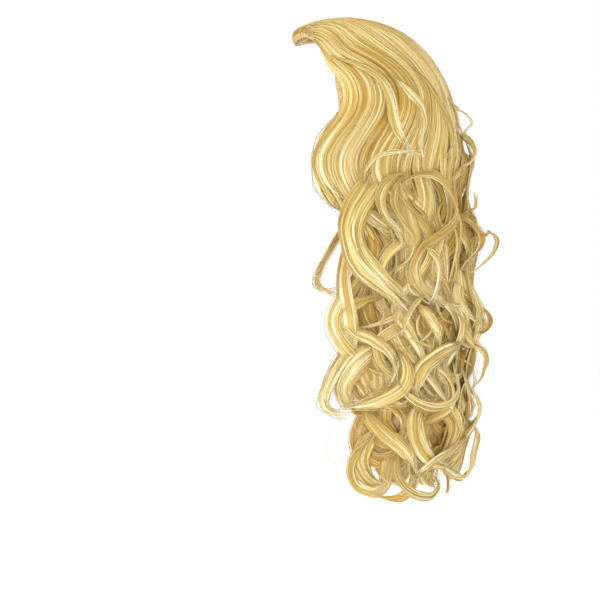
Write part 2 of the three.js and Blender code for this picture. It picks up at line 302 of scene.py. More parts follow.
class Finish:
    def __init__(self, name):
        self.material = bpy.data.materials.new(name)
        self.material.use_nodes = True
        self.nodes = self.material.node_tree.nodes
        self.links = self.material.node_tree.links
        self.shader = self.nodes["Principled BSDF"]

    def add(self, kind, settings=None, inputs=None, output=0):
        node = self.nodes.new(kind)
        for key, setting in (settings or {}).items():
            if key == "stops":
                ramp = node.color_ramp
                while len(ramp.elements) < len(setting):
                    ramp.elements.new(1)
                for element, (place, colour) in zip(ramp.elements, setting):
                    element.position, element.color = place, (*colour, 1)
            else:
                setattr(node, key, setting)
        for key, value in (inputs or {}).items():
            self.feed(node.inputs[key], value)
        return Value(self, node.outputs[output])

    def feed(self, socket, value):
        if isinstance(value, Value):
            self.links.new(value.socket, socket)
        else:
            socket.default_value = value

    def set(self, **sockets):
        for key, value in sockets.items():
            self.feed(self.shader.inputs[key.replace("_", " ")], value)
        return self.material


def linear(red, green, blue):
    return tuple((c / 255 / 12.92) if c <= 10 else (((c / 255) + 0.055) / 1.055) ** 2.4
                 for c in (red, green, blue))


def blend(finish, share, first, second):
    # a Mix node takes its colours at inputs 6 and 7, and gives one at output 2
    first, second = (c if isinstance(c, Value) else (*c, 1) for c in (first, second))
    return finish.add("ShaderNodeMix", {"data_type": "RGBA"}, {0: share, 6: first, 7: second}, 2)


# under and deep are the colours of hair in painted shade, used where a lock is painted dark.
hairColours = {
    "under": linear(160, 116, 28), "deep": linear(206, 166, 76), "shadow": linear(162, 125, 40),
    "middle": linear(182, 153, 74), "light": linear(204, 184, 116), "pale": linear(240, 230, 192),
}
hairLook = {
    # how often the colour changes across and along a strand, in times for each metre, and its share
    "grains": {"hair": ((2600, 12, 1), 0.35), "strand": ((850, 8, 1), 0.42),
               "streak": ((230, 5, 1), 0.38)},
    "detail": 2.0, "level": 0.575, "contrast": 4.8, "lock": 0.26, "tip": 0.34, "bright": 0.24,
    "stops": {"shadow": 0.0, "middle": 0.35, "light": 0.7, "pale": 1.0},
    "bump": 0.35, "bumpDepth": 0.4 * mm, "rough": 0.35, "roughStreak": 0.2, "specular": 0.45,
}


def hairFinish(name):
    o = hairLook
    finish = Finish(name)
    uv = finish.add("ShaderNodeUVMap", {"uv_map": "strandUv"})
    noises, streak = {}, -o["level"]
    for grain, (often, share) in o["grains"].items():
        way = finish.add("ShaderNodeMapping", {}, {"Vector": uv, "Scale": often})
        noises[grain] = finish.add("ShaderNodeTexNoise", {},
                                   {"Vector": way, "Scale": 1.0, "Detail": o["detail"]})
        streak = noises[grain] * share + streak
    toneAndShade = finish.add("ShaderNodeAttribute", {"attribute_name": "lockTone"})
    lockTint = finish.add("ShaderNodeSeparateColor", {}, {"Color": toneAndShade})
    paintedLight, along = (Value(finish, lockTint.socket.node.outputs[part]) for part in ("Green", "Blue"))
    bright = streak * o["contrast"] + lockTint * o["lock"] + along * o["tip"] + o["bright"]
    stops = [(place, hairColours[tint]) for tint, place in o["stops"].items()]
    surface = finish.add("ShaderNodeValToRGB", {"stops": stops}, {"Fac": bright})
    # painted shade: where a lock is painted in shade, the colour turns to the under and deep colours, which
    # stand for hair in shade
    paintedShade = blend(finish, bright, hairColours["under"], hairColours["deep"])
    colour = blend(finish, paintedLight, paintedShade, surface)
    bump = finish.add("ShaderNodeBump", {}, {"Height": noises["hair"] + noises["strand"],
                                             "Strength": o["bump"], "Distance": o["bumpDepth"]})
    rough = streak * o["roughStreak"] + o["rough"]
    return finish.set(Base_Color=colour, Roughness=rough, Normal=bump,
                      Specular_IOR_Level=o["specular"])


hairGloss = hairFinish("blondHair")

# A lock's middle lies at crownLoft over the crown, and sinks at the valley on each side, where its colour is
# also painted darker as painted shade.
crownLoft = {
    "along": [0.0, 0.05, 0.1, 0.16, 0.23, 0.31, 0.39, 0.55, 0.71, 0.85, 0.93, 1.0],
    "height": [10.0, 10.0, 9.0, 8.0, 7.0, 6.0, 5.5, 6.0, 7.5, 11.0, 15.0, 17.0],
}
# The rolled front edge: locks rise out of a round lip, over its top, and settle on the crown.
frontRoll = {
    "rows": 6, "radius": 7.8 * mm, "under": -5.5 * mm, "back": 6.5 * mm, "middle": 0.6, "thin": 0.3,
    "from": 0.2, "hidden": 0.85, "endShare": 0.6, "settle": 50 * mm, "flat": 0.12, "uneven": 0.3,
    "comb": 120 * mm, "tucked": 1.2 * mm,
}
frontLip = {
    "rows": 120, "sides": 24, "radius": 7.5 * mm, "flat": 0.95, "lumps": 0.015, "lumpTurns": (17, 41),
    "endShare": 0.15, "endLeft": 0.1, "tint": 0.5, "paintedLight": 0.75, "shadeTurn": 0.25,
}
valley = {"across": 0.6, "width": 0.045, "depth": 5 * mm, "start": 60 * mm, "end": 90 * mm, "shade": 0.6}
crownRim = 22 * mm


def rollSize(across):
    # the front roll grows thin towards its ends
    return mix(frontRoll["thin"], 1, smooth((1 - np.abs(across)) / frontRoll["endShare"]))


# How a lock sways: longer than its drop, quick at first, calm at its tip and wide lower down.
swayForm = {"longer": 0.1, "hurry": 0.4, "calmTip": 0.6, "wider": 0.25, "tries": 3}


def swayingWay(b):
    # the middle of a lock: it sways from side to side on its way down, and its tip curls up
    o, rows, start = swayForm, b["rows"], b["start"]
    t = np.linspace(0, 1, rows)
    length = (b["end"] - start) * (1 + o["longer"] * b["swing"] ** 2)
    for _ in range(o["tries"]):
        pace = length * ((1 + o["hurry"]) * t - o["hurry"] * t ** 2)
        tip = smooth((pace - length + b["tipLength"]) / b["tipLength"])
        cycle = 2 * math.pi * pace / b["pitch"] + b["phase"]
        side, below, heading, opened = (np.zeros(rows) for _ in range(4))
        below[0] = start
        for i in range(rows):
            if i:
                side[i] = side[i - 1] + math.sin(heading[i - 1]) * (pace[i] - pace[i - 1])
                below[i] = below[i - 1] + math.cos(heading[i - 1]) * (pace[i] - pace[i - 1])
            opened[i] = smooth((below[i] - b["openAt"]) / b["openOver"])
            lower = 1 + o["wider"] * below[i] / hairForm["hairDrop"]
            swing = b["swing"] * opened[i] * (1 - o["calmTip"] * tip[i]) * lower
            heading[i] = swing * math.sin(cycle[i]) + b["tipTurn"] * tip[i]
        length *= (b["end"] - start) / (below.max() - start)
    return side, below, heading, opened, tip, cycle


fallSpan = {"widen": 1.12, "reach": 95 * mm, "turn": 60 * mm, "least": -20 * mm}


def spanAt(below, height):
    # the way across the hair, in metres for each unit of across
    o = fallSpan
    fallen = o["widen"] + np.maximum(height, o["least"]) / o["reach"]
    return hairSpan * mix(1, fallen, smooth(below / o["turn"]))


# How a lock leaves the crown, and its painted shade: locks lying deep under the others are painted
# darker, as shade between locks, and those near the crown are painted fully lit.
lockForm = {
    "least": 1.5 * mm, "settle": 20 * mm, "narrow": 70 * mm, "deepestShade": 0.22, "shadeFade": 20 * mm,
    "crownLight": -30 * mm, "crownFade": 60 * mm, "twistPace": 0.5,
}


def layLock(store, b):
    o, roll = lockForm, frontRoll
    rolled = b["start"] is None
    full = float(crownLength(b["across"]))
    if rolled:
        size = float(rollSize(b["across"]))
        r = roll["radius"] * size
        share = np.linspace(0, 1, roll["rows"], endpoint=False)
        turn = mix(roll["from"], 0.5, share) * math.pi
        risen = mix(roll["hidden"], 1, share) * r
        crest = -full + roll["back"] * size + r * roll["middle"]
        rollBelow = crest - risen * np.cos(turn)
        rollHeight = roll["under"] * size + r + risen * np.sin(turn)
        rollHeight = rollHeight - b["sink"] * roll["uneven"] * share
        b = b | {"start": crest}
    side, below, heading, opened, tip, cycle = swayingWay(b)
    along = np.clip((below + full) / (full + crownRim), 0, 1)
    height = np.interp(along, crownLoft["along"], crownLoft["height"]) * mm - b["sink"]
    dip = math.exp(-((abs(b["across"]) - valley["across"]) / valley["width"]) ** 2)
    dip = dip * (1 - smooth(below / valley["end"])) * smooth((below + full) / valley["start"])
    height = np.maximum(height - valley["depth"] * dip, o["least"])
    if rolled:
        top = roll["under"] * size + 2 * r - b["sink"] * roll["uneven"]
        height = mix(top, height, smooth((below + full) / roll["settle"]))
    settled = smooth((below - b["openAt"] + o["settle"]) / b["openOver"])
    height = mix(height, b["height"], settled)
    height = height + b["lift"] * b["hand"] * np.cos(cycle) * opened + b["tipLift"] * tip
    if rolled:
        side, heading, opened, tip, cycle, dip = (np.concatenate([np.full(roll["rows"], v[0]), v])
                                                  for v in (side, heading, opened, tip, cycle, dip))
        below, height = np.concatenate([rollBelow, below]), np.concatenate([rollHeight, height])
    # painted shade: the lower a lock lies under the outer hair, the darker its colour is painted, and near the
    # crown it is painted fully lit
    paintedLight = mix(o["deepestShade"], 1, smooth((height - b["shadeLevel"]) / o["shadeFade"]))
    paintedLight = np.maximum(paintedLight, 1 - smooth((below - o["crownLight"]) / o["crownFade"]))
    # painted shade: the valley between the crown and the face-side locks is painted darker
    paintedLight = paintedLight * (1 - valley["shade"] * dip)
    rooted = mix(b["rootShare"], 1, smooth((below + full) / o["narrow"]))
    combed = smooth((below + full) / roll["comb"]) if rolled else np.ones(len(below))
    coverLock(store, b, {
        "across": b["across"] + side / spanAt(below, height), "below": below, "height": height,
        "heading": heading, "tip": tip, "paintedLight": paintedLight, "combed": combed,
        "width": mix(b["rootWidth"] * rooted, b["width"], opened),
        "twist": b["twist"] * np.sin(cycle * o["twistPace"] + b["turnPhase"]) * opened})


def addFrontLip(store):
    # the rolled front edge: a round swell of hair, whose strands run over it from below
    o = frontLip
    across = np.linspace(-1, 1, o["rows"])[:, None]
    turn = np.linspace(0, 2 * math.pi, o["sides"], endpoint=False)[None, :]
    size = rollSize(across)
    lumps = np.sin(across * o["lumpTurns"][0]) * np.sin(across * o["lumpTurns"][1])
    radius = o["radius"] * size * (1 + o["lumps"] * lumps)
    radius = radius * smooth((1 - np.abs(across)) / o["endShare"] + o["endLeft"])
    middle = frontRoll["back"] + frontRoll["radius"] * frontRoll["middle"]
    below = -crownLength(across) + middle * size - radius * np.cos(turn)
    height = (frontRoll["under"] + o["radius"]) * size + radius * np.sin(turn) * o["flat"]
    rings = hairPoint(across, below, height)
    lateral = (across * hairSpan / 2)[None] * np.ones_like(rings[None, ..., 0])
    # painted shade: the roll's underside is painted darker and its top lighter
    paintedLight = o["paintedLight"] + o["shadeTurn"] * np.sin(turn)
    toneAndShade = np.stack(np.broadcast_arrays(o["tint"] + 0 * turn, paintedLight, across), axis=-1)
    addGrid(store, rings[None], lateral, turn[None] * o["radius"], toneAndShade[None])


# A lock's band, as shares of the lock's thickness, and the strands that lie over it.
bandForm = {"fill": 3, "tipTaper": 0.92, "thinnest": 0.2, "crest": 0.6, "raised": 0.15, "belly": 0.4,
            "bellyRound": 0.8, "least": 0.15 * mm, "underColumns": 3}
strandForm = {"beyond": 1.3, "crest": 0.7, "raised": 0.15, "loft": (-0.2, 0.7), "bends": 2,
              "bendSize": (0.2, 1.0), "bendTurns": (2, 9), "rootFray": 0.1, "tipFray": 1.5,
              "frayLift": 0.5, "stray": 5, "inward": 8 * mm,
              "seeds": 90, "seedStep": 0.011, "seedChance": 0.002}


def coverLock(store, b, way):
    # the lock itself: a grooved band along its middle, with thin strands over it
    o, s = bandForm, strandForm
    below, height, heading, tip = way["below"], way["height"], way["heading"], way["tip"]
    t = np.linspace(0, 1, len(below))
    narrowing = 1 - o["tipTaper"] * smooth((t - b["tipAt"]) / (1 - b["tipAt"]))
    taper = np.minimum(1, b["startShare"] + o["fill"] * t) * narrowing
    half, span = way["width"] / 2 * taper, spanAt(below, height)
    twist = way["twist"][:, None]

    def place(offset, push, loose=0):
        # offset is counted across the lock from -1 to 1, push outwards from its middle
        across = offset * half[:, None] + loose
        turned = across * np.cos(twist) - push * np.sin(twist)
        sideways = turned * np.cos(heading)[:, None] / span[:, None]
        lowered = below[:, None] - turned * np.sin(heading)[:, None]
        raised = height[:, None] + across * np.sin(twist) + push * np.cos(twist)
        return hairPoint(way["across"][:, None] + sideways, lowered, raised)

    seed = luck.uniform(0, s["seeds"])
    if b["columns"]:
        columns = np.linspace(-1, 1, b["columns"])[None, :]
        groove = luck.uniform(-1, 1, b["columns"]) * b["groove"]
        thin = (mix(frontRoll["flat"], 1, way["combed"]) * mix(o["thinnest"], 1, taper))[:, None]
        crest = ((1 - columns ** 2) * b["thick"] * o["crest"] + groove * (1 - columns ** 4)) * thin
        top = place(columns, crest + b["thick"] * o["raised"] * thin)
        columns = np.linspace(-1, 1, o["underColumns"])[None, :]
        belly = b["thick"] * o["belly"] * (1 - o["bellyRound"] * columns ** 2) + o["least"]
        addBand(store, top, place(columns, -thin * belly), seed, way["paintedLight"])
    n = b["strands"]
    offset = luck.uniform(-s["beyond"], s["beyond"], n)
    crest = b["thick"] * (s["crest"] * (1 - np.minimum(offset ** 2, 1)) + s["raised"])
    push = crest + luck.uniform(*s["loft"], n) * mm
    push = mix(-frontRoll["tucked"], push[None, :], way["combed"][:, None])
    loose = 0
    for _ in range(s["bends"]):
        size, turns = luck.uniform(*s["bendSize"], (1, n)), luck.uniform(*s["bendTurns"], (1, n))
        loose = loose + size * np.sin(turns * t[:, None] * math.pi + luck.uniform(0, wholeTurn, (1, n)))
    loose = loose * b["fray"] * (s["rootFray"] + s["tipFray"] * t[:, None] ** 2)
    stray = luck.uniform(-1, 1, (1, n)) * b["fray"] * s["stray"] * tip[:, None]
    push = push + loose * s["frayLift"]
    outer, inner = (place(offset[None, :], push - inward, loose + stray).transpose(1, 0, 2)
                    for inward in (0, s["inward"]))
    seeds = seed + offset * s["seedStep"] + luck.uniform(-s["seedChance"], s["seedChance"], n)
    widths = luck.uniform(*b["strandWidth"], n)
    addStrands(store, outer, unit(outer - inner), widths, seeds, way["paintedLight"][None, :])


# How far below the widest level the lowest tips hang, in millimetres, from the right to the left.
lowestTips = {"place": [-1, -0.8, -0.6, -0.4, -0.2, 0, 0.2, 0.4, 0.6, 0.8, 1],
              "drop": [290, 330, 365, 385, 385, 380, 385, 396, 385, 340, 300]}

# The layers of hair, from the one that lies on the cap to the loose curls outside, and the nape.
# Lengths are in millimetres, and each pair is the least and the most. reach is a share of lowestTips,
# swing is the steepest sideways heading in radians, spin is how far a tip curls, and locks of a
# shared layer leave room for the traced ones. A layer without a start grows from the front roll.
# Each layer's shadeLevel is the height over the form, in millimetres, below which its locks' colour is painted
# darker, as painted shade.
layers = {
    "Sleek": {
        "count": 52, "edge": 0.9, "sink": (0, 2.5), "reach": (0.45, 0.8),
        "openAt": (15, 60), "openOver": (60, 90), "swing": (0.4, 0.75), "pitch": (120, 160), "jitter": 0.6,
        "height": (8, 15), "lift": (3, 7), "width": (16, 26), "rootWidth": 9, "thick": (2.2, 3.4),
        "twist": 0.4, "tipLength": (60, 90), "spin": (1, 3), "tipLift": (-6, 8), "tipAt": 0.6, "shadeLevel": -2,
        "strands": 9, "strandWidth": (0.3, 0.6), "fray": 0.6, "groove": 0.8, "rows": 56, "columns": 10},
    "Under": {
        "count": 26, "edge": 0.84, "start": (20, 40), "sink": (9, 11), "reach": (0.85, 1.0),
        "openAt": (20, 50), "openOver": (50, 80), "swing": (0.35, 0.65), "pitch": (120, 160), "jitter": 1.2,
        "height": (0, 7), "lift": (2, 5), "width": (22, 32), "rootWidth": 14, "thick": (2.4, 3.6),
        "twist": 0.3, "tipLength": (60, 90), "spin": (1.5, 3.5), "tipLift": (-6, 6), "tipAt": 0.7, "shadeLevel": -10,
        "strands": 5, "strandWidth": (0.5, 0.9), "fray": 1, "groove": 1.2, "rows": 42, "columns": 12},
    "Waves": {
        "count": 28, "edge": 0.86, "start": (-30, 40), "sink": (6, 9), "reach": (0.7, 1.0),
        "openAt": (5, 60), "openOver": (50, 80), "swing": (0.55, 0.95), "pitch": (115, 150), "jitter": 0.8,
        "height": (9, 17), "lift": (5, 10), "width": (17, 28), "rootWidth": 9, "thick": (1.8, 3),
        "twist": 0.6, "tipLength": (60, 90), "spin": (2, 4.5), "tipLift": (-8, 8), "tipAt": 0.65, "shadeLevel": 2,
        "strands": 12, "strandWidth": (0.3, 0.8), "fray": 0.9, "groove": 1.0, "rows": 68, "columns": 12},
    "Curls": {
        "count": 24, "edge": 0.88, "start": (-60, 20), "sink": (0, 2), "reach": (0.6, 0.96), "shared": True,
        "openAt": (-10, 50), "openOver": (40, 70), "swing": (0.7, 1.2), "pitch": (115, 150), "jitter": 1.3,
        "height": (15, 22), "lift": (6, 12), "width": (11, 22), "rootWidth": 7, "thick": (1.6, 2.4),
        "twist": 0.7, "tipLength": (60, 90), "spin": (2.5, 5), "tipLift": (-6, 6), "tipAt": 0.65, "shadeLevel": 2,
        "strands": 14, "strandWidth": (0.3, 0.8), "fray": 0.9, "groove": 0.8, "rows": 66, "columns": 10},
    "Wisps": {
        "count": 22, "edge": 0.78, "start": (-20, 90), "sink": (0, 1), "reach": (0.5, 0.96), "shared": True,
        "openAt": (-10, 60), "openOver": (30, 60), "swing": (0.7, 1.3), "pitch": (110, 150), "jitter": 3.1,
        "height": (18, 26), "lift": (6, 12), "width": (1.5, 3.5), "rootWidth": 2, "thick": (0.9, 1.4),
        "twist": 0.5, "tipLength": (60, 100), "spin": (3, 5), "tipLift": (-4, 4), "tipAt": 0.5, "shadeLevel": 2,
        "strands": 7, "strandWidth": (0.3, 0.6), "fray": 2.2, "groove": 0.2, "rows": 60, "columns": 4},
    "Loose": {
        "count": 64, "edge": 0.8, "start": (0, 140), "sink": (0, 1), "reach": (0.5, 0.98),
        "openAt": (-10, 60), "openOver": (30, 60), "swing": (0.5, 1.1), "pitch": (110, 160), "jitter": 3.1,
        "height": (14, 27), "lift": (4, 10), "width": (5, 12), "rootWidth": 4, "thick": (0.9, 1.4),
        "twist": 0.5, "tipLength": (60, 100), "spin": (2, 5), "tipLift": (-4, 4), "tipAt": 0.9, "shadeLevel": 2,
        "strands": 2, "strandWidth": (0.24, 0.42), "fray": 2.2, "groove": 0, "rows": 48, "columns": 0},
    "Nape": {
        "count": 20, "edge": 0.6, "start": (26, 34), "sink": (12, 12), "reach": (0.66, 0.86),
        "openAt": (40, 80), "openOver": (50, 70), "swing": (0.5, 0.9), "pitch": (115, 150), "jitter": 3.1,
        "height": (-17, -8), "lift": (2, 5), "width": (18, 28), "rootWidth": 16, "thick": (2.4, 3.4),
        "twist": 0.4, "tipLength": (60, 80), "spin": (2, 4), "tipLift": (-3, 6), "tipAt": 0.65, "shadeLevel": -34,
        "strands": 3, "strandWidth": (0.6, 1.2), "fray": 0.8, "groove": 1.1, "rows": 36, "columns": 10},
}
# The locks at both ends of the front edge wave forward once, and then turn back under themselves.
faceLocks = {"across": 0.62, "reach": (0.3, 0.38), "openAt": (75, 85), "spin": (1.2, 2.4),
             "swing": (0.35, 0.6)}
# Where the traced locks lie, only every second loose curl grows, and all lie lower.
tracedPart = (0.02, 0.8)
sunk = {"height": 7 * mm, "lift": 0.6}
# How far a lock strays from its even place, how the swings drift from side to side, and the shares
# of its width that a lock from the roll and a free one have at the root and at the start.
placing = {"shift": 0.4, "drift": 1.6, "driftTurns": 5, "rolled": (0.62, 1), "free": (1, 0.3)}


def growLayer(o, storeFor):
    varied = ("sink", "openAt", "openOver", "pitch", "height", "lift", "width", "thick", "tipLength",
              "tipLift")
    rooted = "start" not in o
    for i in range(o["count"]):
        across = mix(-o["edge"], o["edge"], (i + 0.5) / o["count"])
        across = across + layout.uniform(-placing["shift"], placing["shift"]) / o["count"]
        drop = np.interp(across, lowestTips["place"], lowestTips["drop"]) * mm
        away = layout.choice([-1, 1])
        ranges = o
        if abs(across) > faceLocks["across"]:
            away = -np.sign(across)
            ranges = o | faceLocks | ({} if rooted else {"reach": o["reach"]})
        lock = {key: layout.uniform(*ranges[key]) * mm for key in varied}
        traced = tracedPart[0] < across < tracedPart[1]
        if traced and not rooted:
            lock["height"] -= sunk["height"]
            lock["lift"] *= sunk["lift"]
        lock |= {key: o[key] for key in ("twist", "tipAt", "strands", "rows", "columns")}
        lock |= {key: o[key] * mm for key in ("rootWidth", "groove", "fray", "shadeLevel")}
        lock["across"], lock["strandWidth"] = across, [w * mm for w in o["strandWidth"]]
        lock["start"] = None if rooted else layout.uniform(*o["start"]) * mm
        lock["end"] = drop * layout.uniform(*ranges["reach"])
        lock["swing"] = layout.uniform(*ranges["swing"])
        # neighbours swing together, as far as the layer's jitter lets them
        together = placing["drift"] * math.sin(placing["driftTurns"] * across)
        lock["phase"] = together + layout.uniform(-1, 1) * o["jitter"]
        lock["turnPhase"], lock["hand"] = layout.uniform(0, wholeTurn), layout.choice([-1, 1])
        lock["tipTurn"] = away * layout.uniform(*ranges["spin"])
        lock["rootShare"], lock["startShare"] = placing["rolled" if rooted else "free"]
        if not (o.get("shared") and i % 2 and traced):
            layLock(storeFor(across), lock)


# Locks of the left side that are traced. Each place is a pixel across, a pixel down and a height
# in millimetres above the form.
tracedLocks = {
    "ring": {"width": 13, "places": [(404, 182, 17), (420, 175, 22), (438, 175, 26), (452, 187, 28),
        (457, 206, 28), (452, 222, 27), (438, 236, 25), (424, 246, 23), (417, 262, 22), (418, 277, 22),
        (426, 292, 22), (440, 302, 22), (454, 306, 20), (468, 304, 14)]},
    "ringTail": {"width": 5, "places": [(422, 245, 25), (433, 253, 28), (441, 264, 29), (442, 278, 29),
        (436, 293, 27), (428, 303, 20)]},
    "innerWave": {"width": 9, "places": [(409, 172, 20), (396, 177, 22), (386, 187, 24), (382, 202, 25),
        (386, 217, 25), (396, 228, 24), (402, 242, 20), (404, 256, 14)]},
    "thinWave": {"width": 5, "places": [(408, 174, 22), (399, 188, 26), (396, 206, 27), (403, 222, 28),
        (412, 238, 28), (413, 252, 27), (406, 264, 26), (397, 273, 22)]},
    "frontSweep": {"width": 14, "places": [(376, 158, 12), (371, 174, 15), (361, 191, 19), (351, 209, 22),
        (346, 229, 23), (350, 251, 24), (360, 269, 25), (376, 283, 25), (391, 295, 23), (404, 308, 19),
        (416, 323, 12)]},
    "backSweep": {"width": 13, "places": [(388, 160, 10), (384, 178, 14), (374, 195, 18), (363, 212, 20),
        (358, 231, 21), (362, 250, 22), (373, 266, 23), (386, 279, 23), (399, 291, 21), (411, 305, 17),
        (424, 318, 11)]},
    "risingArc": {"width": 3.5, "places": [(366, 183, 22), (367, 170, 24), (376, 159, 25), (388, 153, 25),
        (404, 152, 24), (421, 154, 20)]},
    "backHook": {"width": 6, "places": [(462, 243, 16), (472, 236, 19), (482, 233, 20), (489, 239, 20),
        (491, 252, 20), (487, 263, 20), (478, 271, 19), (468, 277, 16)]},
    "smallHook": {"width": 3, "places": [(458, 215, 20), (467, 212, 22), (475, 208, 22), (479, 201, 22),
        (480, 192, 22)]},
    "crownBend": {"width": 13, "places": [(434, 92, 9), (443, 112, 12), (456, 130, 15), (468, 143, 17),
        (471, 155, 18), (464, 167, 18), (455, 179, 17), (451, 193, 14)]},
    "backLoop": {"width": 10, "places": [(447, 212, 16), (460, 217, 20), (472, 228, 22), (477, 244, 23),
        (471, 259, 22), (462, 272, 19), (459, 286, 14)]},
    "lowerHook": {"width": 8, "places": [(452, 305, 18), (468, 303, 22), (480, 310, 23), (484, 322, 23),
        (478, 333, 22), (467, 330, 20)]},
    "lowerLoop": {"width": 9, "places": [(452, 343, 18), (468, 343, 22), (485, 350, 24), (493, 362, 24),
        (486, 376, 22), (473, 387, 16)]},
    "bowl": {"width": 8, "places": [(396, 377, 20), (403, 391, 24), (415, 402, 26), (433, 407, 27),
        (449, 401, 27), (458, 385, 26), (456, 364, 22)]},
    "bowlSide": {"width": 15, "places": [(462, 342, 14), (448, 350, 20), (434, 360, 23), (422, 372, 24),
        (415, 388, 22), (418, 402, 16)]},
    "faceWisp": {"width": 6, "columns": 5, "strands": 22, "fray": 1.4 * mm, "thick": 1.2 * mm, "places": [
        (350, 218, 8), (339, 236, 12), (327, 256, 16), (318, 272, 18), (316, 283, 18), (326, 291, 18),
        (342, 292, 14)]},
    "longS": {"width": 13, "places": [(385, 296, 16), (368, 300, 21), (353, 307, 24), (347, 319, 24),
        (355, 332, 25), (372, 340, 25), (388, 352, 24), (396, 370, 22), (388, 388, 18)]},
    "shoulderCurl": {"width": 11, "columns": 10, "strands": 26, "fray": 1.8 * mm, "places": [(372, 338, 12),
        (352, 350, 16), (338, 366, 19), (328, 386, 20), (325, 402, 20), (334, 413, 18), (350, 412, 14)]},
    "foldedCurl": {"width": 16, "places": [(398, 350, 16), (407, 368, 21), (402, 386, 23), (384, 398, 23),
        (362, 405, 22), (344, 406, 17)]},
    "lowSweep": {"width": 14, "places": [(360, 402, 14), (370, 420, 19), (386, 436, 22), (402, 448, 22),
        (414, 462, 20), (416, 478, 14)]},
    "frontTip": {"width": 9, "places": [(372, 436, 14), (357, 452, 18), (350, 470, 19), (356, 486, 19),
        (371, 492, 18), (384, 484, 17), (382, 472, 14)]},
    "middleTip": {"width": 9, "places": [(404, 446, 16), (396, 462, 19), (399, 481, 20), (412, 494, 20),
        (428, 496, 19), (437, 484, 18), (430, 472, 15)]},
    "backTip": {"width": 10, "places": [(466, 420, 14), (479, 436, 20), (480, 454, 21), (472, 470, 21),
        (457, 477, 20), (446, 468, 18), (451, 454, 15)]},
    "shoulderPuff": {"width": 20, "thick": 1.6 * mm, "strands": 26, "fray": 1.4 * mm, "places": [
        (388, 344, 10), (368, 354, 14), (351, 371, 16), (343, 389, 16), (350, 403, 14), (368, 404, 10)]},
    "cornerCurl": {"width": 20, "places": [(438, 392, 12), (452, 412, 16), (463, 434, 18), (463, 455, 18),
        (450, 468, 16), (434, 466, 12)]},
    "crossLock": {"width": 12, "places": [(470, 434, 18), (456, 449, 21), (440, 459, 21), (425, 470, 18),
        (408, 482, 13)]},
    "lowCurl": {"width": 16, "places": [(418, 398, 12), (413, 420, 16), (420, 444, 18), (436, 462, 18),
        (452, 470, 14)]},
    "lowFill": {"width": 24, "strands": 6, "places": [(376, 426, 7), (364, 446, 8), (361, 464, 8),
        (370, 480, 7), (386, 486, 5)]},
    "tipFill": {"width": 20, "strands": 6, "places": [(442, 444, 6), (430, 460, 7), (424, 476, 7),
        (434, 488, 6)]},
    "midGleam": {"width": 9, "places": [(416, 304, 19), (425, 315, 23), (434, 330, 24), (440, 346, 20)]},
    "midThin": {"width": 5, "places": [(426, 294, 21), (413, 305, 25), (404, 320, 25), (400, 336, 20)]},
    "midFall": {"width": 18, "places": [(390, 304, 11), (402, 320, 16), (413, 338, 18), (423, 355, 18),
        (427, 373, 13)]},
    "backPuff": {"width": 16, "places": [(474, 262, 12), (465, 277, 18), (460, 294, 21), (465, 311, 21),
        (475, 326, 16)]},
    "partingLock": {"width": 12, "places": [(345, 50, 5), (364, 62, 7), (384, 78, 9), (392, 95, 11),
        (395, 112, 13), (400, 130, 16), (408, 148, 17), (411, 163, 15)]},
    "middleWave": {"width": 11, "places": [(395, 72, 6), (410, 92, 9), (422, 108, 12), (425, 124, 15),
        (421, 142, 17), (424, 158, 16)]},
    "backWave": {"width": 10, "places": [(418, 58, 6), (430, 78, 9), (437, 96, 11), (446, 113, 14),
        (452, 128, 16), (450, 146, 17), (443, 160, 15)]},
    "faceLobe": {"width": 13, "places": [(338, 112, 5), (328, 132, 7), (321, 155, 8), (320, 176, 8),
        (326, 195, 8), (337, 208, 7), (352, 217, 5)]},
    "lobeFill": {"width": 15, "places": [(344, 124, 5), (334, 146, 6), (330, 168, 7), (334, 187, 7),
        (344, 201, 6), (360, 212, 5)]},
    "frizz": {"width": 4, "columns": 0, "strands": 14, "fray": 1.6 * mm, "places": [(448, 96, 10),
        (456, 108, 15), (466, 115, 18), (470, 123, 18), (462, 133, 16), (468, 142, 15)]},
}
# These grow on the right side too, the other way round.
farLocks = {"names": ["longS", "shoulderCurl", "foldedCurl", "shoulderPuff"], "strands": 10}
tracedLook = {
    "startShare": 0.4, "rows": 42, "columns": 13, "strands": 15, "thick": 2.4 * mm, "groove": 1.1 * mm,
    "tipAt": 0.6, "tip": 0.2, "fray": 1.2 * mm, "strandWidth": (0.3 * mm, 0.7 * mm), "root": 0.35,
    "fill": 3, "twist": 0.5, "twistTurns": 4,
}
seenWidth = 0.995  # how far out to the sides of the form a pixel is still read as lying on it


def photoPlace(points):
    # across and below of the hair that is seen at each pixel on the left side
    right, down = points[:, 0] - camera["size"] / 2, points[:, 1] - camera["size"] / 2
    height = points[:, 2] * mm
    middle = camera["size"] / 2 - np.array(camera["origin"])
    turn = math.radians(camera["azimuth"])
    depth = np.zeros(len(points))
    for _ in range(4):  # the depth changes the scale, so it is found step by step
        scale = camera["scale"] * (1 - depth / camera["distance"])
        u = right * scale + middle[0] * camera["scale"]
        below = down * scale + middle[1] * camera["scale"] - hairForm["headRise"]
        share = np.clip(below, 0, None) / hairForm["hairDrop"]
        wide = hairForm["halfBreadth"] * np.interp(share, fallForm["down"], fallForm["wide"]) + height
        deep = hairForm["halfLength"] * np.interp(share, fallForm["down"], fallForm["deep"]) + height
        back = hairForm["halfLength"] * np.interp(share, fallForm["down"], fallForm["back"])
        reach = np.hypot(math.sin(turn) * deep, math.cos(turn) * wide)
        lean = np.arctan2(-math.cos(turn) * wide, math.sin(turn) * deep)
        seen = (u - math.sin(turn) * back) / reach
        height = height + np.maximum(np.abs(seen) - seenWidth, 0) * reach
        angle = np.arccos(np.clip(seen, -seenWidth, seenWidth)) - lean
        depth = wide * np.sin(angle) * math.sin(turn) - (deep * np.cos(angle) + back) * math.cos(turn)
    across = angle / math.radians(hairForm["fallTurn"])
    still = across.copy()
    for _ in range(6):  # and so is the place that the wave moves to this one
        across = still - (waved(across, below) - across)
    return across, below, height


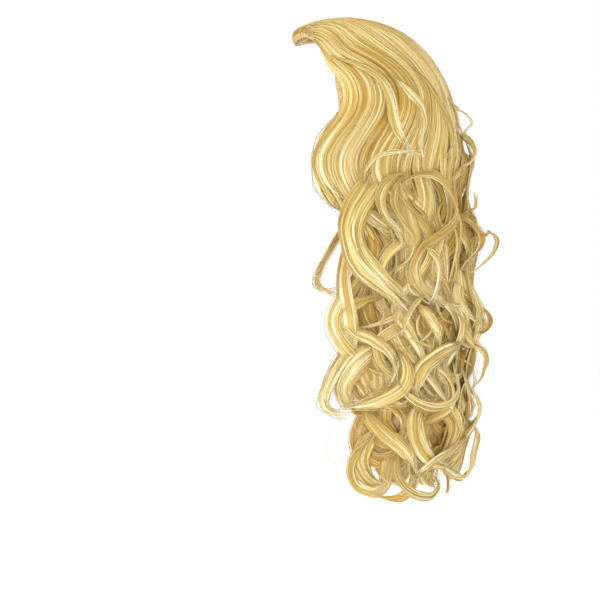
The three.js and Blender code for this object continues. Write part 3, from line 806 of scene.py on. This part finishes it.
def traceLock(storeFor, lock, hand):
    # hand is 1 for the side that is seen, and -1 for a lock that is laid on the other side
    b = tracedLook | lock
    across, below, height = photoPlace(np.array(b["places"], dtype=float))
    across = across * hand
    t = np.linspace(0, len(b["places"]) - 1.001, b["rows"])
    k, f = t.astype(int), t % 1

    def curve(v):
        # a smooth curve through the points
        v = np.concatenate([[2 * v[0] - v[1]], v, [2 * v[-1] - v[-2]]])
        a, c, d, e = v[k], v[k + 1], v[k + 2], v[k + 3]
        return c + 0.5 * f * (d - a + f * (2 * a - 5 * c + 4 * d - e + f * (3 * (c - d) + e - a)))

    across, below, height = curve(across), curve(below), curve(height)
    heading = np.unwrap(np.arctan2(np.gradient(across) * spanAt(below, height), np.gradient(below)))
    t = t / t[-1]
    coverLock(storeFor(across.mean()), b, {
        "across": across, "below": below, "height": height, "heading": heading,
        "tip": smooth((t - 1 + b["tip"]) / b["tip"]), "paintedLight": np.ones(b["rows"]),
        "combed": np.ones(b["rows"]), "width": b["width"] * mm * smooth(b["root"] + b["fill"] * t),
        "twist": b["twist"] * np.sin(b["twistTurns"] * t + b["width"])})


backWidth = 0.27  # the back reaches this far across to both sides


def sideOf(across):
    return "Left" if across > backWidth else "Right" if across < -backWidth else "Back"


sides = {
    "Left": ["left_lock_2", "left_lock_3", "left_lock_4", "left_side_lock"],
    "Back": ["right_lock_1", "centre_lock", "left_lock_1"],
    "Right": ["right_lock_2", "right_lock_3", "right_lock_4", "right_side_lock"],
}
napeNodes = [f"nape_lock_{i}" for i in range(1, 6)]


def buildLayer(layerName, layer):
    whole = layerName == "Nape"
    stores = {name: newStore() for name in ([""] if whole else sides)}

    def storeFor(across):
        return stores["" if whole else sideOf(across)]

    growLayer(layer, storeFor)
    if layerName == "Sleek":
        addFrontLip(stores["Back"])
    if layerName == "Curls":
        for lock in tracedLocks.values():
            traceLock(storeFor, lock, 1)
        for name in farLocks["names"]:
            traceLock(storeFor, tracedLocks[name] | {"strands": farLocks["strands"]}, -1)
    for side, store in stores.items():
        nodes = (napeNodes if whole else sides[side]) + ([] if "start" in layer else ["crown_hair"])
        makePiece("hair" + layerName + side, store, hairGloss, nodes)


for layerName, layer in layers.items():
    buildLayer(layerName, layer)
print("hair grown")


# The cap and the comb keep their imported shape. The cap is a net with sewn rows of hair.
capNet = {
    "mesh": 3.2 * mm, "meshesRound": 168, "row": 11 * mm, "rowShare": 0.31, "rowEdge": 4, "uneven": 1.0,
    "net": linear(206, 182, 136), "hole": linear(180, 152, 104), "tape": linear(186, 154, 98),
    "rough": 0.85, "bump": 0.6, "bumpDepth": 0.6 * mm, "rowRise": 2.0,
}
combLook = {
    "plastic": linear(150, 112, 64), "deep": linear(118, 82, 42), "cloud": 90, "detail": 2.0,
    "rough": 0.22, "roughCloud": 0.15, "coat": 0.2,
}


def netFinish():
    o = capNet
    finish = Finish("capNet")
    place = finish.add("ShaderNodeTexCoord", output=3)
    split = finish.add("ShaderNodeSeparateXYZ", {}, {"Vector": place})
    y, z = (Value(finish, split.socket.node.outputs[way]) for way in "YZ")
    around = (split.join("ARCTAN2", y) * o["meshesRound"]).join("SINE", 0.0)
    down = (z * (2 * math.pi / o["mesh"])).join("SINE", 0.0)
    net = (around + down) * 0.25 + 0.5
    rows = finish.add("ShaderNodeTexWave", {"bands_direction": "Z"}, {
        "Vector": place, "Scale": o["rowShare"] / o["row"], "Distortion": o["uneven"], "Detail": 1.0})
    rows = rows.join("POWER", o["rowEdge"])
    cloth = blend(finish, net, o["hole"], o["net"])
    bump = finish.add("ShaderNodeBump", {}, {
        "Height": net + rows * o["rowRise"], "Strength": o["bump"], "Distance": o["bumpDepth"]})
    return finish.set(Base_Color=blend(finish, rows, cloth, o["tape"]), Roughness=o["rough"], Normal=bump)


def combFinish():
    o = combLook
    finish = Finish("combPlastic")
    place = finish.add("ShaderNodeTexCoord", output=3)
    cloud = finish.add("ShaderNodeTexNoise", {}, {
        "Vector": place, "Scale": o["cloud"], "Detail": o["detail"]})
    rough = cloud * o["roughCloud"] + o["rough"]
    return finish.set(Base_Color=blend(finish, cloud, o["deep"], o["plastic"]), Roughness=rough,
                      Coat_Weight=o["coat"])


for nodeName, finish in (("wig_cap", netFinish()), ("front_comb", combFinish())):
    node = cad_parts[nodeName]
    node.data.materials.clear()
    node.data.materials.append(finish)
    node.data.polygons.foreach_set("use_smooth", [True] * len(node.data.polygons))
print("cap and comb finished")

# Lengths of the studio are in metres, but for the lens, and a lamp has a place, a size and watts.
studio = {
    "floorGap": 0.16, "floorSize": 24, "floorRough": 0.9, "pale": (1, 1, 1, 1), "air": 1.0,
    "sensorMillimetres": 36, "farthest": 50, "lampAim": (0, 0.04, -0.25),
    "lamps": {
        "keyLamp": ((1.3, -1.6, 1.5), 1.4, 12), "fillLamp": ((2.5, 0.5, -0.65), 1.2, 66),
        "rimLamp": ((-1.6, 1.2, 1.4), 1.4, 26), "topLamp": ((0.2, 0.1, 2.2), 1.6, 10)},
}


def aim(thing, target):
    way = Vector(target) - thing.location
    thing.rotation_euler = way.to_track_quat("-Z", "Y").to_euler()


def placeCamera():
    turn = math.radians(camera["azimuth"])
    look = np.array([-math.sin(turn), math.cos(turn), 0])
    right = np.array([math.cos(turn), math.sin(turn), 0])
    middle = (camera["size"] / 2 - np.array(camera["origin"])) * camera["scale"]
    target = right * middle[0] - np.array([0, 0, middle[1]])
    bpy.ops.object.camera_add(location=target - look * camera["distance"])
    lens = bpy.context.object
    lens.data.sensor_width = studio["sensorMillimetres"]
    seen = camera["size"] * camera["scale"]
    lens.data.lens = studio["sensorMillimetres"] * camera["distance"] / seen
    lens.data.clip_end = studio["farthest"]
    aim(lens, target)
    bpy.context.scene.camera = lens


def buildStudio():
    place = (0, 0, cadBox[0][2] - studio["floorGap"])
    bpy.ops.mesh.primitive_plane_add(size=studio["floorSize"], location=place)
    floor = bpy.context.object
    floor.name = "studioFloor"
    paint = Finish("floorPaint").set(Base_Color=studio["pale"], Roughness=studio["floorRough"])
    floor.data.materials.append(paint)
    for name, (place, size, power) in studio["lamps"].items():
        bpy.ops.object.light_add(type="AREA", location=place)
        lamp = bpy.context.object
        lamp.name = name
        lamp.data.size, lamp.data.energy = size, power
        aim(lamp, studio["lampAim"])
    world = bpy.data.worlds.new("studioAir")
    bpy.context.scene.world = world
    world.use_nodes = True
    air = world.node_tree.nodes["Background"].inputs
    air["Color"].default_value, air["Strength"].default_value = studio["pale"], studio["air"]
    bpy.context.scene.view_settings.view_transform = "Standard"


placeCamera()
buildStudio()
print("studio set")
